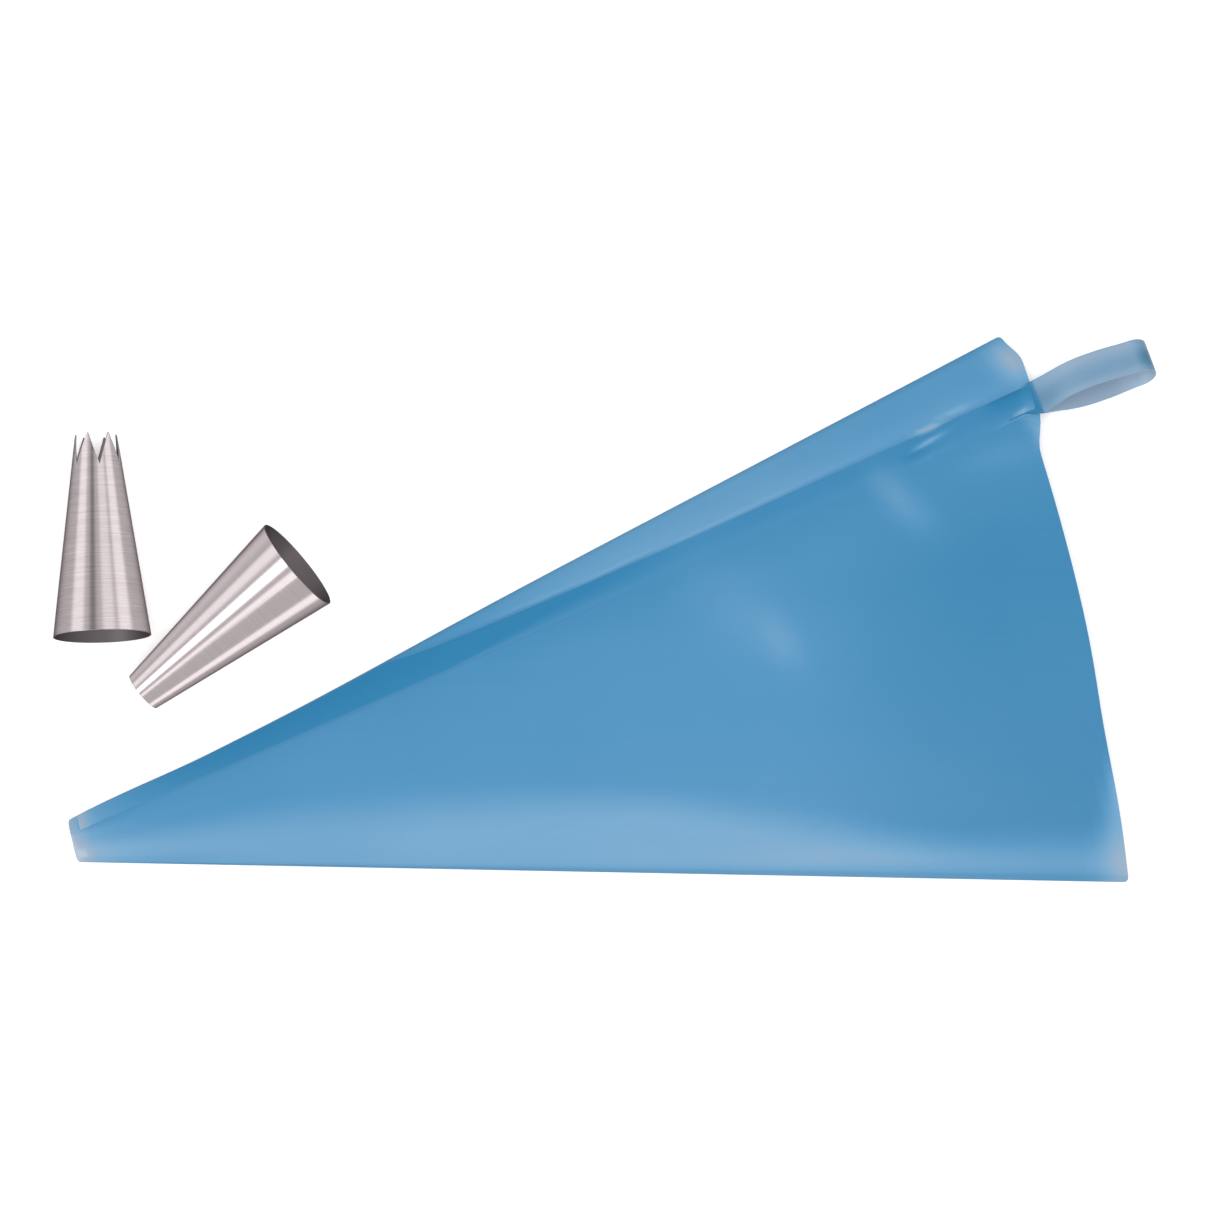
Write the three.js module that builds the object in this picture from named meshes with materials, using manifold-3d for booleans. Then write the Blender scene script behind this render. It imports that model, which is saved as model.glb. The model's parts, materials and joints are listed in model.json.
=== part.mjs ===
// A reusable piping bag, laid flat, with its hanging loop and two loose steel nozzles beside it.
// Millimetres, +Z up. The set stands on Z = 0, centred on the origin.

import * as THREE from 'three';
import { mergeVertices } from 'three/addons/utils/BufferGeometryUtils.js';
import Module from 'manifold-3d';

const { degToRad, lerp, smoothstep, clamp } = THREE.MathUtils;

// ---- Driving dimensions ----

// Bag: a cone of film pressed flat, described from the apex that its two side folds point to.
const FILM = 0.6; // wall of the film
const FOLD_ANGLE = degToRad(28.8); // between the two side folds
const TIP_REACH = 25.8; // apex to the cut tip, along a fold
const TIP_BULGE = 1.8; // the tip's middle stands out this much further
const MOUTH_REACH = 325; // apex to the mouth, along a fold
const MOUTH_DIP = 5.5; // the mouth's middle is set back this much
const FOLD_THICKNESS = 2.6; // the doubled film at a side fold
const TIP_HEIGHT = 3.8; // the flattened bag's height at the tip
const MOUTH_HEIGHT = 14; // and at the mouth, where the film springs open
const FOLD_ROUNDING = 0.2; // how much of the section the bend of a fold takes
const STEPS_AROUND = 40;
const STEPS_ALONG = 14;

// Seam: the overlap of the film's two edges, welded, a little off the upper fold.
const SEAM_ANGLE = degToRad(10.4); // from the bag's midline
const SEAM_OFFSET = 1.4; // sideways from the apex
const SEAM_WIDTH = 7.5;
const SEAM_START = 29;
const SEAM_END = 321.5;
const SEAM_EDGE_LIMIT = 0.95; // share of the half width that the band may reach near the tip
const SEAM_STEPS = 36;
const GAP = 0.3; // between pieces that lie on each other

// Hanging loop: a strap of the same film, doubled, with its ends welded onto the seam.
const STRAP_WIDTH = 10;
const STRAP_WALL = 0.8;
const STRAP_STEPS = 2; // across its width
const TAB_WIDTH = 9; // the strap is drawn in a little where it is welded
const TAB_STEPS = 4;
const TAB_START = 313;
const TAB_END = 325.2;
const TAB_THICKNESS = 1.2;
const LOOP_LENGTH = 35.5;
const LOOP_HEIGHT = 12; // the teardrop at its fullest
const LOOP_FULLEST = 0.55; // how far out that is, as a share of its length
const LOOP_END_HEIGHT = 9.4; // the bend at the free end
const LOOP_ROOT_HEIGHT = 1.8;
const LOOP_HOLE_START = 3; // where the two runs part
const LOOP_HOLE_ROOT_HEIGHT = 0.4;
const LOOP_STEPS = 8; // in each curve of the teardrop
const LOOP_CLEARANCE = 0.9; // between the tab and the strap's root
const LOOP_HEADING = degToRad(5.5); // from the bag's midline
const LOOP_ROOT_ROLL = degToRad(12); // the strap follows the film's slope at the weld
const LOOP_END_ROLL = degToRad(24); // and rolls over towards its free end

// Nozzles: cones of drawn stainless sheet.
const NOZZLE_LENGTH = 58;
const NOZZLE_WALL = 0.6;
const NOZZLE_TIP_RADIUS = 6;
const STAR_BASE_RADIUS = 14;
const PLAIN_BASE_RADIUS = 14.5;
const NOZZLE_FACETS = 48;
const NOTCHES = 6;
const NOTCH_DEPTH = 9.5;
const NOTCH_HALF_WIDTH = 2.6;
const NOTCH_WAIST = 0.42; // share of that width, at the waist of the notch's curve
const NOTCH_WAIST_HEIGHT = 0.55; // share of the depth, up from the root
const NOTCH_STEPS = 5;
const CUT_THROUGH = 2; // how far the cutter stands out past the tip
const NOTCH_TURN = degToRad(9.1);

// Where each thing lies on the table, before the whole set is centred.
const BAG_APEX = new THREE.Vector2(-175.5, -71.8);
const BAG_HEADING = degToRad(13.3);
const STAR_BASE = new THREE.Vector2(-143.1, -7.7);
const STAR_HEADING = degToRad(92.2);
const PLAIN_BASE = new THREE.Vector2(-87.5, 12.8);
const PLAIN_HEADING = degToRad(219.4);

// ---- Materials ----

const film = { roughness: 0.35, metalness: 0 };
const steel = { roughness: 0.3, metalness: 1 };
const bagMaterial = new THREE.MeshStandardMaterial({ color: 0x5294c4, ...film });
const seamMaterial = new THREE.MeshStandardMaterial({ color: 0x3f87ba, ...film });
const strapMaterial = new THREE.MeshStandardMaterial({ color: 0x8fb0cc, ...film });
const steelMaterial = new THREE.MeshStandardMaterial({ color: 0xc8bfc2, ...steel });

function namedMesh(name, geometry, material) {
  const mesh = new THREE.Mesh(geometry, material);
  mesh.name = name;
  return mesh;
}

// ---- The bag's flattened shape ----

const halfAngle = FOLD_ANGLE / 2;
const foldHalf = FOLD_THICKNESS / 2;

// spread runs from -1 at one side fold to 1 at the other; this is 1 on the midline and 0 at a fold.
function fullness(spread) {
  return 1 - spread * spread;
}

function heightAt(reach) {
  const along = (reach - TIP_REACH) / (MOUTH_REACH - TIP_REACH);
  return lerp(TIP_HEIGHT, MOUTH_HEIGHT, along);
}

// How far the film has turned from the fold's edge (0) to lying flat (1).
function foldBend(spread) {
  return Math.min(1, Math.sqrt(Math.max(0, fullness(spread))) / FOLD_ROUNDING);
}

function upperHeight(reach, spread, inset) {
  const lift = (heightAt(reach) - FOLD_THICKNESS) * fullness(spread);
  return foldHalf + (foldHalf - inset) * foldBend(spread) + lift;
}

function lowerHeight(spread, inset) {
  return foldHalf - (foldHalf - inset) * foldBend(spread);
}

// A point of the film, along from the tip (0) to the mouth (1), around the rolled cone.
function filmPoint(along, around, inset) {
  const spread = Math.cos(around);
  const tip = TIP_REACH - TIP_BULGE * fullness(spread);
  const mouth = MOUTH_REACH - MOUTH_DIP * fullness(spread);
  const reach = lerp(tip, mouth, along);
  const angle = halfAngle * spread;
  const upper = Math.sin(around) > 0;
  const height = upper ? upperHeight(reach, spread, inset) : lowerHeight(spread, inset);
  return new THREE.Vector3(
    reach * Math.cos(angle),
    reach * Math.sin(angle) - inset * spread,
    height,
  );
}

// The film is rolled as a round cone with a wall, and each of its points is then pressed flat.
function bagBody() {
  const profile = [];
  for (let step = 0; step <= STEPS_ALONG; step += 1) {
    profile.push(new THREE.Vector2(1 + step, step));
  }
  for (let step = STEPS_ALONG; step >= 0; step -= 1) {
    profile.push(new THREE.Vector2(step + 0.5, step));
  }
  profile.push(profile[0].clone());
  const geometry = new THREE.LatheGeometry(profile, STEPS_AROUND);
  const positions = geometry.attributes.position;
  const outerCount = STEPS_ALONG + 1;
  for (let index = 0; index < positions.count; index += 1) {
    const ring = Math.floor(index / profile.length);
    const place = index % profile.length;
    const inner = place >= outerCount && place < 2 * outerCount;
    const along = profile[place].y / STEPS_ALONG;
    const around = (2 * Math.PI * ring) / STEPS_AROUND;
    const point = filmPoint(along, around, inner ? FILM : 0);
    positions.setXYZ(index, point.x, point.y, point.z);
  }
  geometry.computeVertexNormals();
  return namedMesh('bag_body', geometry, bagMaterial);
}

// ---- Pieces that lie on the bag ----

// Lays a flat box along the seam, on the bag's upper film, raised by clearance.
function layOnSeam(name, start, end, width, thickness, clearance, steps, material) {
  const geometry = new THREE.BoxGeometry(end - start, width, thickness, steps, 2, 1);
  const positions = geometry.attributes.position;
  for (let index = 0; index < positions.count; index += 1) {
    const along = positions.getX(index) + (start + end) / 2;
    const side = along * Math.sin(SEAM_ANGLE) + SEAM_OFFSET + positions.getY(index);
    const reach = Math.hypot(along * Math.cos(SEAM_ANGLE), side);
    const angle = Math.asin(side / reach);
    const spread = clamp(angle / halfAngle, -SEAM_EDGE_LIMIT, SEAM_EDGE_LIMIT);
    const layer = clearance + thickness / 2 + positions.getZ(index);
    positions.setXYZ(
      index,
      reach * Math.cos(spread * halfAngle),
      reach * Math.sin(spread * halfAngle),
      upperHeight(reach, spread, 0) + layer,
    );
  }
  geometry.computeVertexNormals();
  return namedMesh(name, geometry, material);
}

function seamStrip() {
  return layOnSeam(
    'seam_strip', SEAM_START, SEAM_END, SEAM_WIDTH, FILM, GAP, SEAM_STEPS, seamMaterial,
  );
}

const tabClearance = FILM + 2 * GAP;

function loopTab() {
  return layOnSeam(
    'loop_tab', TAB_START, TAB_END, TAB_WIDTH, TAB_THICKNESS, tabClearance, TAB_STEPS,
    strapMaterial,
  );
}

// A teardrop: pinched at the root, full in the middle, a rounded bend at the free end.
function teardrop(start, end, rootHeight, fullHeight, endHeight, path) {
  const middle = lerp(start, end, LOOP_FULLEST);
  const bend = end - endHeight / 2;
  path.moveTo(start, -rootHeight / 2);
  path.bezierCurveTo(
    lerp(start, middle, 0.5), -fullHeight * 0.45, lerp(start, middle, 0.7), -fullHeight / 2,
    middle, -fullHeight / 2,
  );
  path.bezierCurveTo(
    lerp(middle, bend, 0.5), -fullHeight / 2, lerp(middle, bend, 0.8), -endHeight * 0.6,
    bend, -endHeight / 2,
  );
  path.absarc(bend, 0, endHeight / 2, -Math.PI / 2, Math.PI / 2, false);
  path.bezierCurveTo(
    lerp(middle, bend, 0.8), endHeight * 0.6, lerp(middle, bend, 0.5), fullHeight / 2,
    middle, fullHeight / 2,
  );
  path.bezierCurveTo(
    lerp(start, middle, 0.7), fullHeight / 2, lerp(start, middle, 0.5), fullHeight * 0.45,
    start, rootHeight / 2,
  );
  return path;
}

// The strap's root is at the group's origin. It runs along +X, and its width is along Y.
function hangingLoop() {
  const outline = teardrop(
    0, LOOP_LENGTH, LOOP_ROOT_HEIGHT, LOOP_HEIGHT, LOOP_END_HEIGHT, new THREE.Shape(),
  );
  const walls = 2 * STRAP_WALL;
  const hole = teardrop(
    LOOP_HOLE_START, LOOP_LENGTH - STRAP_WALL, LOOP_HOLE_ROOT_HEIGHT,
    LOOP_HEIGHT - walls, LOOP_END_HEIGHT - walls, new THREE.Path(),
  );
  outline.holes.push(hole);
  const geometry = new THREE.ExtrudeGeometry(outline, {
    depth: STRAP_WIDTH, steps: STRAP_STEPS, bevelEnabled: false, curveSegments: LOOP_STEPS,
  });
  geometry.translate(0, 0, -STRAP_WIDTH / 2);
  geometry.rotateX(Math.PI / 2);
  const positions = geometry.attributes.position;
  for (let index = 0; index < positions.count; index += 1) {
    const x = positions.getX(index);
    const share = smoothstep(x, 0, LOOP_LENGTH / 2);
    const roll = lerp(LOOP_ROOT_ROLL, LOOP_END_ROLL, share);
    const y = positions.getY(index);
    const z = positions.getZ(index);
    positions.setXYZ(
      index,
      x,
      y * Math.cos(roll) + z * Math.sin(roll),
      z * Math.cos(roll) - y * Math.sin(roll),
    );
  }
  geometry.computeVertexNormals();
  return namedMesh('hanging_loop', geometry, strapMaterial);
}

function placedLoop() {
  const along = TAB_END + LOOP_CLEARANCE;
  const side = along * Math.sin(SEAM_ANGLE) + SEAM_OFFSET;
  const reach = Math.hypot(along * Math.cos(SEAM_ANGLE), side);
  const spread = Math.asin(side / reach) / halfAngle;
  const placed = new THREE.Group();
  placed.position.set(
    along * Math.cos(SEAM_ANGLE),
    side,
    upperHeight(reach, spread, 0) + tabClearance + TAB_THICKNESS / 2,
  );
  placed.rotation.z = LOOP_HEADING;
  placed.add(hangingLoop());
  return placed;
}

// ---- Nozzles ----

const wasm = await Module();
wasm.setup();

function toSolid(geometry) {
  const bare = new THREE.BufferGeometry();
  bare.setAttribute('position', geometry.attributes.position.clone());
  bare.setIndex(geometry.index);
  const merged = mergeVertices(bare, 1e-4);
  const vertProperties = new Float32Array(merged.attributes.position.array);
  const triVerts = new Uint32Array(merged.index.array);
  const mesh = new wasm.Mesh({ numProp: 3, vertProperties, triVerts });
  return new wasm.Manifold(mesh);
}

function toGeometry(solid) {
  const mesh = solid.getMesh();
  const geometry = new THREE.BufferGeometry();
  geometry.setAttribute('position', new THREE.BufferAttribute(mesh.vertProperties, 3));
  geometry.setIndex(new THREE.BufferAttribute(mesh.triVerts, 1));
  geometry.computeVertexNormals();
  return geometry;
}

// The axis is +Z, the wide base is at Z = 0, and a flat facet of the cone faces +X.
function coneShell(baseRadius) {
  const profile = [
    new THREE.Vector2(baseRadius, 0),
    new THREE.Vector2(NOZZLE_TIP_RADIUS, NOZZLE_LENGTH),
    new THREE.Vector2(NOZZLE_TIP_RADIUS - NOZZLE_WALL, NOZZLE_LENGTH),
    new THREE.Vector2(baseRadius - NOZZLE_WALL, 0),
    new THREE.Vector2(baseRadius, 0),
  ];
  const halfFacet = Math.PI / NOZZLE_FACETS;
  const geometry = new THREE.LatheGeometry(profile, NOZZLE_FACETS, halfFacet, 2 * Math.PI);
  geometry.rotateX(Math.PI / 2);
  return geometry;
}

// A notch is narrow at its root and flares, so that the teeth left between are pointed arches.
function notchCutter(turn) {
  const root = NOZZLE_LENGTH - NOTCH_DEPTH;
  const above = NOZZLE_LENGTH + CUT_THROUGH;
  const waist = NOTCH_HALF_WIDTH * NOTCH_WAIST;
  const waistHeight = root + NOTCH_DEPTH * NOTCH_WAIST_HEIGHT;
  const shape = new THREE.Shape();
  shape.moveTo(0, root);
  shape.quadraticCurveTo(waist, waistHeight, NOTCH_HALF_WIDTH, NOZZLE_LENGTH);
  shape.lineTo(NOTCH_HALF_WIDTH, above);
  shape.lineTo(-NOTCH_HALF_WIDTH, above);
  shape.lineTo(-NOTCH_HALF_WIDTH, NOZZLE_LENGTH);
  shape.quadraticCurveTo(-waist, waistHeight, 0, root);
  const span = 2 * STAR_BASE_RADIUS;
  const geometry = new THREE.ExtrudeGeometry(shape, {
    depth: span, bevelEnabled: false, curveSegments: NOTCH_STEPS,
  });
  geometry.translate(0, 0, -span / 2);
  geometry.rotateX(Math.PI / 2);
  geometry.rotateZ(turn - Math.PI / 2);
  return geometry;
}

function starNozzle() {
  let solid = toSolid(coneShell(STAR_BASE_RADIUS));
  const pitch = (2 * Math.PI) / NOTCHES;
  // One cutter passes through the whole tip, so it makes two opposite notches.
  for (let cut = 0; cut < NOTCHES / 2; cut += 1) {
    const cutter = toSolid(notchCutter(NOTCH_TURN + cut * pitch));
    solid = solid.subtract(cutter);
  }
  return namedMesh('star_nozzle', toGeometry(solid), steelMaterial);
}

function plainNozzle() {
  return namedMesh('plain_nozzle', coneShell(PLAIN_BASE_RADIUS), steelMaterial);
}

// Lays a nozzle on its side, so that one facet of its cone rests on the table.
function layDown(nozzle, baseRadius, base, heading) {
  const toFacet = Math.cos(Math.PI / NOZZLE_FACETS);
  const slope = Math.atan((toFacet * (baseRadius - NOZZLE_TIP_RADIUS)) / NOZZLE_LENGTH);
  const tilted = new THREE.Group();
  tilted.rotation.y = Math.PI / 2 + slope;
  tilted.add(nozzle);
  const placed = new THREE.Group();
  placed.position.set(base.x, base.y, toFacet * baseRadius * Math.cos(slope));
  placed.rotation.z = heading;
  placed.add(tilted);
  return placed;
}

// ---- The set ----

const bag = new THREE.Group();
bag.position.set(BAG_APEX.x, BAG_APEX.y, 0);
bag.rotation.z = BAG_HEADING;
bag.add(bagBody(), seamStrip(), loopTab(), placedLoop());

const pipingBagSet = new THREE.Group();
pipingBagSet.add(
  bag,
  layDown(starNozzle(), STAR_BASE_RADIUS, STAR_BASE, STAR_HEADING),
  layDown(plainNozzle(), PLAIN_BASE_RADIUS, PLAIN_BASE, PLAIN_HEADING),
);

// The origin is moved to the middle of the set's footprint, on the table.
pipingBagSet.updateMatrixWorld(true);
const bounds = new THREE.Box3().setFromObject(pipingBagSet, true);
const centre = bounds.getCenter(new THREE.Vector3());
pipingBagSet.position.set(-centre.x, -centre.y, -bounds.min.z);
pipingBagSet.updateMatrixWorld(true);

export default pipingBagSet;
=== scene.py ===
# %% [markdown]
# # A piping bag and its two nozzles
# A reusable piping bag is a cone of soft blue film with a strap loop welded into its seam. Here
# it lies flat, pressed by its own weight, beside a star nozzle and a plain nozzle of thin
# stainless steel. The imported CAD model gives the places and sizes, and this lesson makes the
# film, the weld, the strap and the steel look like what they are.

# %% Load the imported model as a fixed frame
import json
import math

import bmesh
import bpy
from mathutils import Matrix, Vector, noise


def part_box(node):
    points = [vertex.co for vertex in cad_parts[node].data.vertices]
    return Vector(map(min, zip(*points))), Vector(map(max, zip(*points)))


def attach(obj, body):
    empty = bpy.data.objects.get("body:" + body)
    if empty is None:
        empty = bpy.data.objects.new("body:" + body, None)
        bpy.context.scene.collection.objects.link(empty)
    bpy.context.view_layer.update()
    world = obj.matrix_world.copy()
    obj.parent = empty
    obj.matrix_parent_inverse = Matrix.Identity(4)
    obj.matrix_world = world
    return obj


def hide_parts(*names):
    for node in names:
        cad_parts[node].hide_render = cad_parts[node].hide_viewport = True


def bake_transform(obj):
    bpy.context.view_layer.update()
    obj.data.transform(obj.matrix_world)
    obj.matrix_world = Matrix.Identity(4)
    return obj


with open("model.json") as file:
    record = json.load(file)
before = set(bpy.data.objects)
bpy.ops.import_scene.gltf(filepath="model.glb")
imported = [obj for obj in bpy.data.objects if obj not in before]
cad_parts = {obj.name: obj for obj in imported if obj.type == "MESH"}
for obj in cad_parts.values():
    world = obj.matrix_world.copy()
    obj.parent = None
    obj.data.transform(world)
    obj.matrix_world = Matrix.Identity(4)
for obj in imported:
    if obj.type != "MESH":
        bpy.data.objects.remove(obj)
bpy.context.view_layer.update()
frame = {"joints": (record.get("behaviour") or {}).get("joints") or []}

scene = bpy.context.scene
MM = 0.001

# %% [markdown]
# ## The camera
# The bag is seen square on, so the camera hangs straight above the table and looks down with a
# long lens, which keeps the film's outline true.

# %% Camera
VIEW_WIDTH = 344.6 * MM
VIEW_CENTRE = Vector((-1.1, 1.1, 0)) * MM
LENS_MM = 300
SENSOR_MM = 36
camera_data = bpy.data.cameras.new("camera")
camera_data.lens = LENS_MM
camera_data.sensor_width = SENSOR_MM
camera_data.clip_start = 0.01
camera_height = VIEW_WIDTH * LENS_MM / SENSOR_MM
camera = bpy.data.objects.new("camera", camera_data)
camera.location = VIEW_CENTRE + Vector((0, 0, camera_height))
scene.collection.objects.link(camera)
scene.camera = camera
scene.view_settings.view_transform = "Standard"
print(f"camera {camera_height:.3f} m above the table")

# %% [markdown]
# ## Helpers
# Every material colour is written as an sRGB hex value and turned to linear light by one
# function. One small function adds a shader node with its settings and its links. Operators act
# on whatever is selected, so another function clears the selection before each new piece.


# %% Helper functions
def linear(hex_colour, alpha=1.0):
    """An sRGB hex colour such as "#4E93C5" as linear RGBA."""
    channels = [int(hex_colour[i : i + 2], 16) / 255 for i in (1, 3, 5)]
    turned = [c / 12.92 if c <= 0.04045 else ((c + 0.055) / 1.055) ** 2.4 for c in channels]
    return (*turned, alpha)


def grey(level):
    """An even linear grey, as light."""
    return (level, level, level, 1.0)


def add_node(tree, kind, links=None, inputs=None, **settings):
    """Adds a node. links maps its inputs to other nodes' outputs, inputs to plain values."""
    made = tree.nodes.new(kind)
    for name, value in settings.items():
        setattr(made, name, value)
    for name, value in (inputs or {}).items():
        made.inputs[name].default_value = value
    for name, source in (links or {}).items():
        tree.links.new(source, made.inputs[name])
    return made


def new_material(name):
    """An empty node material with its Principled shader and its tree."""
    material = bpy.data.materials.new(name)
    material.use_nodes = True
    tree = material.node_tree
    return material, tree, tree.nodes["Principled BSDF"]


def clear_selection():
    if bpy.context.object and bpy.context.object.mode != "OBJECT":
        bpy.ops.object.mode_set(mode="OBJECT")
    bpy.ops.object.select_all(action="DESELECT")


def named_active(name):
    """Names the object that an operator has just added, and its mesh."""
    piece = bpy.context.object
    piece.name = name
    piece.data.name = name
    return piece


def edit_select(piece, mode, test):
    """Goes into edit mode with only the edges or faces selected that pass the test."""
    bpy.ops.object.mode_set(mode="EDIT")
    bpy.ops.mesh.select_mode(type=mode)
    bpy.ops.mesh.select_all(action="DESELECT")
    mesh = bmesh.from_edit_mesh(piece.data)
    for part in mesh.edges if mode == "EDGE" else mesh.faces:
        part.select = test(part)
    mesh.select_flush_mode()
    bmesh.update_edit_mesh(piece.data)


def apply_modifier(piece, kind, **settings):
    clear_selection()
    bpy.context.view_layer.objects.active = piece
    piece.select_set(True)
    modifier = piece.modifiers.new(kind.title(), kind)
    for name, value in settings.items():
        setattr(modifier, name, value)
    bpy.ops.object.modifier_apply(modifier=modifier.name)


def face_upwards(piece, points):
    """Turns an open sheet's faces so that the highest of its first points faces up."""
    highest = max(range(points), key=lambda index: piece.data.vertices[index].co.z)
    if piece.data.vertices[highest].normal.z < 0:
        piece.data.flip_normals()


def smooth_step(low, high, value):
    share = min(1.0, max(0.0, (value - low) / (high - low)))
    return share * share * (3 - 2 * share)


def mix(a, b, share):
    return a + (b - a) * share


# %% [markdown]
# ## The pressed shape of the bag
# The bag is welded as a cone and then pressed flat, so its outline is a slice of a ring between
# two straight side folds. Each point of the film has a reach, its distance from the apex that
# the folds point to, and a spread, from -1 at the lower fold to 1 at the upper one. The film
# lies flat on the table underneath and springs up in a low arch on top. The apex is worked out
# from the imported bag: its lower fold ends at the mouth, in the lowest, furthest corner.

# %% Driving dimensions of the film, in millimetres
FOLD_ANGLE = math.radians(28.8)
HALF_ANGLE = FOLD_ANGLE / 2
BAG_HEADING = math.radians(13.3)
TIP_REACH = 25.8
TIP_BULGE = 1.8
MOUTH_REACH = 325.0
MOUTH_DIP = 5.5
FOLD_THICKNESS = 2.6
TIP_HEIGHT = 3.8
MOUTH_HEIGHT = 13.8
FOLD_ROUNDING = 0.2
FILM_THICKNESS = 0.35

bag_low, bag_high = (Vector(corner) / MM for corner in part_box("bag_body"))
lower_fold = BAG_HEADING - HALF_ANGLE
APEX = Vector((
    bag_high.x - MOUTH_REACH * math.cos(lower_fold),
    bag_low.y - MOUTH_REACH * math.sin(lower_fold),
    0,
))
BAG_PLACE = Matrix.Translation(APEX) @ Matrix.Rotation(BAG_HEADING, 4, "Z")
print(f"apex at {APEX.x:.1f}, {APEX.y:.1f} mm")


# %% [markdown]
# The weld runs a little below the upper fold. Its lower edge is a straight line. Above it the
# spare film rolls over as a narrow tube that starts a third of the way up the bag and widens to
# the mouth, and the film sinks into a valley between the two.

# %% The weld's two edges and the film's height
WELD_SLOPE = 0.1835
WELD_OFFSET = -2.4
ROLL_START = 122.0
ROLL_WIDTH = 17.5
ROLL_END = 320.0
VALLEY_DEPTH = 1.3
VALLEY_ABOVE = 3.2
VALLEY_BELOW = 9.0
RIPPLE_HEIGHT = 0.35
RIPPLE_LENGTH = 55.0
RIPPLE_WIDTH = 28.0
FOLD_SAG = 1.3


def weld_lower_edge(along):
    return WELD_SLOPE * along + WELD_OFFSET


def polar(along, side):
    """Reach and spread of a point along and across the bag."""
    return math.hypot(along, side), math.atan2(side, along) / HALF_ANGLE


def weld_upper_edge(along):
    share = max(0.0, along - ROLL_START) / (ROLL_END - ROLL_START)
    return math.tan(HALF_ANGLE) * along - ROLL_WIDTH * share**0.6


def gentle_bump(along, side, centre, turn, long, wide):
    """A soft oval rise of the film: 1 at its centre, 0 beyond its edge."""
    ahead, across = along - centre[0], side - centre[1]
    turned = ahead * math.cos(turn) + across * math.sin(turn)
    crossed = across * math.cos(turn) - ahead * math.sin(turn)
    return math.exp(-((turned / long) ** 2) - (crossed / wide) ** 2)


# Dents and ridges of handled film: centre along and across the bag, turn, length, width, rise.
FILM_MARKS = (
    ((226, 17), math.radians(-6), 34, 9, 0.55),
    ((277, 38), math.radians(-30), 10, 4.5, 0.45),
    ((289, 57.0), math.radians(13), 6, 1.3, 0.5),
    ((287, 51.6), math.radians(17), 4, 1.0, 0.3),
    ((317, 55.5), math.radians(10), 4, 1.2, 0.4),
)


def film_height(reach, spread):
    """How high the upper film's outer face stands above the table."""
    fullness = 1 - spread * spread
    share = (reach - TIP_REACH) / (MOUTH_REACH - TIP_REACH)
    arch = (mix(TIP_HEIGHT, MOUTH_HEIGHT, share) - FOLD_THICKNESS) * fullness
    bend = min(1.0, math.sqrt(max(0.0, fullness)) / FOLD_ROUNDING)
    height = FOLD_THICKNESS / 2 * (1 + bend) + arch
    along = reach * math.cos(HALF_ANGLE * spread)
    side = reach * math.sin(HALF_ANGLE * spread)
    off = side - weld_upper_edge(along)
    valley = math.exp(-((off / (VALLEY_ABOVE if off > 0 else VALLEY_BELOW)) ** 2))
    height -= VALLEY_DEPTH * valley * smooth_step(ROLL_START, 200, along) * bend
    for centre, turn, long, wide, rise in FILM_MARKS:
        height += rise * gentle_bump(along, side, centre, turn, long, wide)
    ripple = noise.noise(Vector((along / RIPPLE_LENGTH, side / RIPPLE_WIDTH, 3.1)))
    return height + RIPPLE_HEIGHT * ripple * fullness * smooth_step(60, 200, along)


def fold_sag(reach):
    """How far the upper fold bows in from a straight line."""
    return FOLD_SAG * smooth_step(30, 70, reach) + math.exp(-(((reach - 100) / 45) ** 2))


def on_bag(reach, spread, height):
    """A point of the bag where it lies on the table, in metres."""
    angle = HALF_ANGLE * spread - fold_sag(reach) / reach * max(0.0, spread) ** 3
    flat = Vector((reach * math.cos(angle), reach * math.sin(angle), height))
    return BAG_PLACE @ flat * MM


# %% [markdown]
# ## The film
# The real bag is cut from one flat sheet, rolled and welded. A cone primitive without ends is
# the same shape before it is pressed: its lengthwise edges are subdivided into rings, and every
# point is then moved to its pressed place. The mouth's edge is a shallow arc that stands out a
# little where the weld stiffens it, and all four corners are rounded.

# %% Roll the cone and press it flat
FILM_AROUND = 176
FILM_RINGS = 100
MOUTH_CORNER = 1.4
MOUTH_WAVE = 0.9
WELD_STANDS_OUT = 3.4


def corner_setback(spread, half_width, radius):
    """How far a rounded corner holds the film's edge back near a fold."""
    into = abs(spread) * half_width - (half_width - radius)
    if into <= 0:
        return 0.0
    return radius - math.sqrt(max(0.0, radius * radius - into * into))


def tip_edge(spread):
    return TIP_REACH - TIP_BULGE * max(0.0, 1 - spread * spread) ** 0.35


def mouth_edge(spread, upper):
    fullness = 1 - spread * spread
    half_width = MOUTH_REACH * math.sin(HALF_ANGLE)
    edge = MOUTH_REACH - MOUTH_DIP * fullness
    edge -= corner_setback(spread, half_width, MOUTH_CORNER)
    edge -= MOUTH_WAVE * math.exp(-(((spread + 0.45) / 0.25) ** 2))
    if upper:
        in_weld = smooth_step(0.55, 0.7, spread) * (1 - smooth_step(0.88, 1.0, spread))
        edge += WELD_STANDS_OUT * in_weld
    return edge


def pressed_point(share, around):
    spread = math.cos(around)
    upper = math.sin(around) > 0
    reach = mix(tip_edge(spread), mouth_edge(spread, upper), share)
    if upper:
        return on_bag(reach, spread, film_height(reach, spread))
    bend = min(1.0, abs(math.sin(around)) / FOLD_ROUNDING)
    return on_bag(reach, spread, FOLD_THICKNESS / 2 * (1 - bend))


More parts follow.
